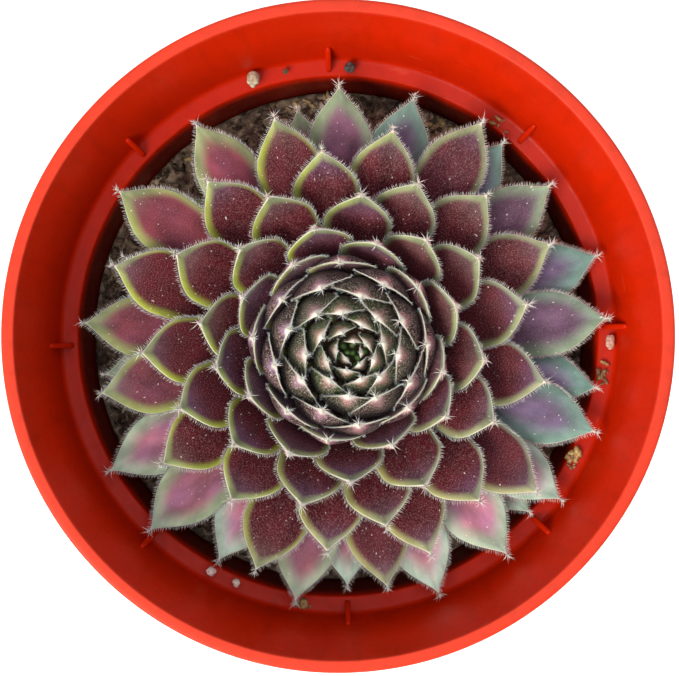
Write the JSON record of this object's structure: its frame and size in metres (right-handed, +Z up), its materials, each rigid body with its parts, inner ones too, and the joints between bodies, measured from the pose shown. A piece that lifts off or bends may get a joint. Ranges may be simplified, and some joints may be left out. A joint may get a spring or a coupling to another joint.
{
  "type": "potted houseleek",
  "caption": "Houseleek rosette of pointed fleshy leaves on a short stem, in soil in a round moulded plastic nursery pot with a flared collar; stands on its foot ring.",
  "frame": {"origin": "middle of the pot's foot, on the surface that the pot stands on", "axes": "+Z up along the pot's axis to its rim; +X and +Y across the pot, +Y towards the top of the view from above"},
  "size_m": [0.105, 0.105, 0.092],
  "materials": {
    "pot_plastic": "satin",
    "soil": "matte",
    "leaf": "satin",
    "pale_grit": "matte",
    "dark_grit": "matte"
  },
  "bodies": {
    "root": {"pot": "pot_plastic", "soil": "soil", "houseleek": "leaf", "grit_pale_stone": "pale_grit", "grit_dark_stone": "dark_grit", "grit_grain_top": "dark_grit", "grit_chip_right": "pale_grit", "grit_grain_low_left": "pale_grit", "grit_grain_low_right": "pale_grit"}
  },
  "joints": []
}
